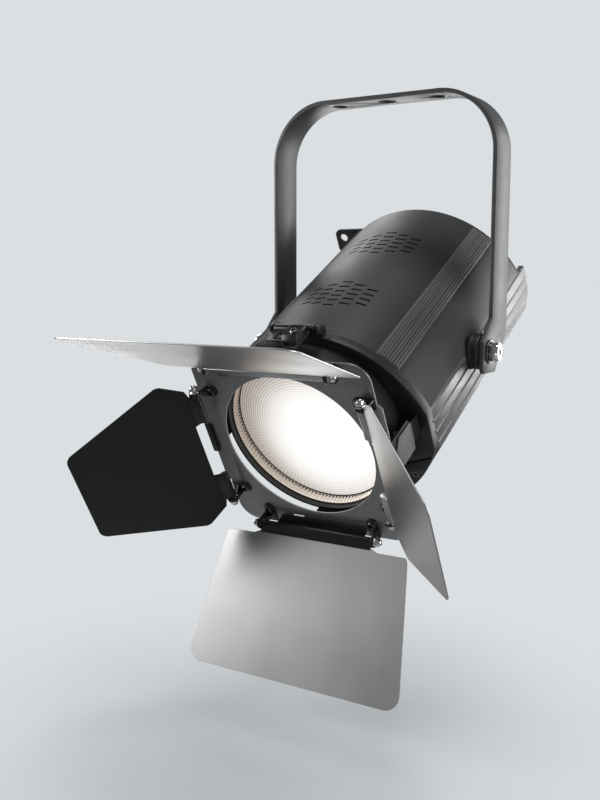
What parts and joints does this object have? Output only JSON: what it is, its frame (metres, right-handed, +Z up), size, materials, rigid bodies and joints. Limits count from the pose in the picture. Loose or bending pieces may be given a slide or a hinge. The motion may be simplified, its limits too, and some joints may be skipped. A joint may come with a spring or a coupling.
{
  "type": "stage spotlight",
  "caption": "LED Fresnel stage spotlight: vented lamp head tilting in a U-shaped hanging yoke, with a lift-out four-leaf barn door.",
  "frame": {"origin": "middle of the yoke's centre hole, on the top face of the bar", "axes": "+Z up along the centre hole; the light leaves the head towards -Y, 28 degrees below level at rest; +X to the right seen from behind the head"},
  "size_m": [0.3461, 0.5049, 0.5379],
  "materials": {
    "yoke_paint": "satin black powder coat",
    "housing_paint": "fine satin black powder coat",
    "rail_anodised": "black anodised extrusion",
    "bezel_paint": "black painted casting",
    "barrel_black": "matt black",
    "retainer_metal": "plain, finely turned",
    "lens_glass": "clear, textured rear face",
    "bracket_steel": "black zinc",
    "screw_black": "black oxide",
    "bolt_chrome": "bright plated",
    "washer_black": "black zinc",
    "friction_pad": "matt",
    "boss_plastic": "moulded, matt",
    "inner_sheet": "zinc plated",
    "inner_sheet_alu": "plain",
    "rod_steel": "ground",
    "motor_case": "black end caps",
    "fan_plastic": "moulded",
    "circuit_board": "green resist",
    "supply_case": "folded plain sheet",
    "display_glass": "smoked window",
    "socket_blue": "moulded blue",
    "socket_grey": "moulded pale grey",
    "socket_black": "moulded black",
    "nut_brass": "turned",
    "heat_sink_alu": "black anodised",
    "led_board": "white resist on a metal board",
    "reflector": "polished",
    "door_sheet": "satin black over steel",
    "leaf_sheet": "satin black over thin steel",
    "button_rubber": "matt"
  },
  "bodies": {
    "yoke": {"yoke_bar": "yoke_paint"},
    "head": {"top_cover": "housing_paint", "left_rib_strip": "housing_paint", "right_rib_strip": "housing_paint", "left_side_shell": "housing_paint", "right_side_shell": "housing_paint", "left_side_rail": "rail_anodised", "right_side_rail": "rail_anodised", "bottom_shell": "housing_paint", "front_bezel": "bezel_paint", "lower_bezel": "bezel_paint", "rear_panel": "housing_paint", "safety_tab": "housing_paint", "lens_barrel": "barrel_black", "lens_retainer": "retainer_metal", "fresnel_lens": "lens_glass", "left_clip": "bracket_steel", "right_clip": "bracket_steel", "bottom_clip": "bracket_steel", "latch_bracket": "bracket_steel", "bezel_screws": "screw_black", "rear_screws": "screw_black", "tilt_bolts": "bolt_chrome", "tilt_washers": "washer_black", "friction_washers": "friction_pad", "pivot_bosses": "boss_plastic", "chassis_plate": "inner_sheet", "guide_rods": "rod_steel", "zoom_motor": "motor_case", "fan_frame": "fan_plastic", "control_board": "circuit_board", "power_supply": "supply_case", "display_window": "display_glass", "power_inlet": "socket_blue", "power_outlet": "socket_grey", "data_sockets": "socket_black", "fuse_holder": "socket_black"},
    "latch": {"top_latch": "bracket_steel"},
    "carriage": {"zoom_carriage": "inner_sheet_alu", "drive_nut": "nut_brass", "heat_sink": "heat_sink_alu", "led_module": "led_board", "collimator": "reflector"},
    "screw": {"lead_screw": "rod_steel"},
    "rotor": {"fan_rotor": "fan_plastic"},
    "menu_key": {"menu_button": "button_rubber"},
    "down_key": {"down_button": "button_rubber"},
    "up_key": {"up_button": "button_rubber"},
    "enter_key": {"enter_button": "button_rubber"},
    "door": {"door_frame": "door_sheet", "door_lugs": "bracket_steel"},
    "top_flap": {"top_leaf": "leaf_sheet", "top_leaf_bolts": "bolt_chrome"},
    "bottom_flap": {"bottom_leaf": "leaf_sheet", "bottom_leaf_bolts": "bolt_chrome"},
    "left_flap": {"left_leaf": "leaf_sheet", "left_leaf_bolts": "bolt_chrome"},
    "right_flap": {"right_leaf": "leaf_sheet", "right_leaf_bolts": "bolt_chrome"}
  },
  "joints": [
    {"name": "head_tilt", "type": "hinge", "parent": "yoke", "child": "head", "pos_m": [0, -0.025, -0.245], "axis": [1, 0, 0], "range_deg": [-60, 75]},
    {"name": "latch_turn", "type": "hinge", "parent": "head", "child": "latch", "pos_m": [0, -0.17414, -0.2201], "axis": [-1, 0, 0], "range_deg": [0, 75], "stiffness_Nm_per_rad": 0.05, "springref_deg": -22.92},
    {"name": "zoom_slide", "type": "slide", "parent": "head", "child": "carriage", "axis": [0, -0.8829, -0.4695], "range_m": [-0.02, 0.02]},
    {"name": "lead_screw_spin", "type": "hinge", "parent": "head", "child": "screw", "pos_m": [0.05, 0.00176, -0.29533], "axis": [0, -0.8829, -0.4695], "range_deg": [-905, 905]},
    {"name": "fan_spin", "type": "hinge", "parent": "head", "child": "rotor", "pos_m": [0, 0.07305, -0.15889], "axis": [0, -0.8829, -0.4695], "continuous": true},
    {"name": "door_lift", "type": "slide", "parent": "head", "child": "door", "axis": [0, -0.4695, 0.8829], "range_m": [0, 0.21]},
    {"name": "menu_press", "type": "slide", "parent": "head", "child": "menu_key", "axis": [0, -0.8829, -0.4695], "range_m": [0, 0.0012], "stiffness_N_per_m": 300, "springref_m": -0.001},
    {"name": "down_press", "type": "slide", "parent": "head", "child": "down_key", "axis": [0, -0.8829, -0.4695], "range_m": [0, 0.0012], "stiffness_N_per_m": 300, "springref_m": -0.001},
    {"name": "up_press", "type": "slide", "parent": "head", "child": "up_key", "axis": [0, -0.8829, -0.4695], "range_m": [0, 0.0012], "stiffness_N_per_m": 300, "springref_m": -0.001},
    {"name": "enter_press", "type": "slide", "parent": "head", "child": "enter_key", "axis": [0, -0.8829, -0.4695], "range_m": [0, 0.0012], "stiffness_N_per_m": 300, "springref_m": -0.001},
    {"name": "top_flap_turn", "type": "hinge", "parent": "door", "child": "top_flap", "pos_m": [0, -0.21937, -0.25434], "axis": [1, 0, 0], "range_deg": [-48, 50]},
    {"name": "bottom_flap_turn", "type": "hinge", "parent": "door", "child": "bottom_flap", "pos_m": [0, -0.13674, -0.40974], "axis": [-1, 0, 0], "range_deg": [-50, 48]},
    {"name": "left_flap_turn", "type": "hinge", "parent": "door", "child": "left_flap", "pos_m": [-0.084, -0.17805, -0.33204], "axis": [0, -0.4695, 0.8829], "range_deg": [-47, 51]},
    {"name": "right_flap_turn", "type": "hinge", "parent": "door", "child": "right_flap", "pos_m": [0.084, -0.17805, -0.33204], "axis": [0, 0.4695, -0.8829], "range_deg": [-44.5, 53.5]}
  ],
  "couplings": [
    {"joint": "lead_screw_spin", "follows": "zoom_slide", "rad_per_m": 785.4}
  ]
}
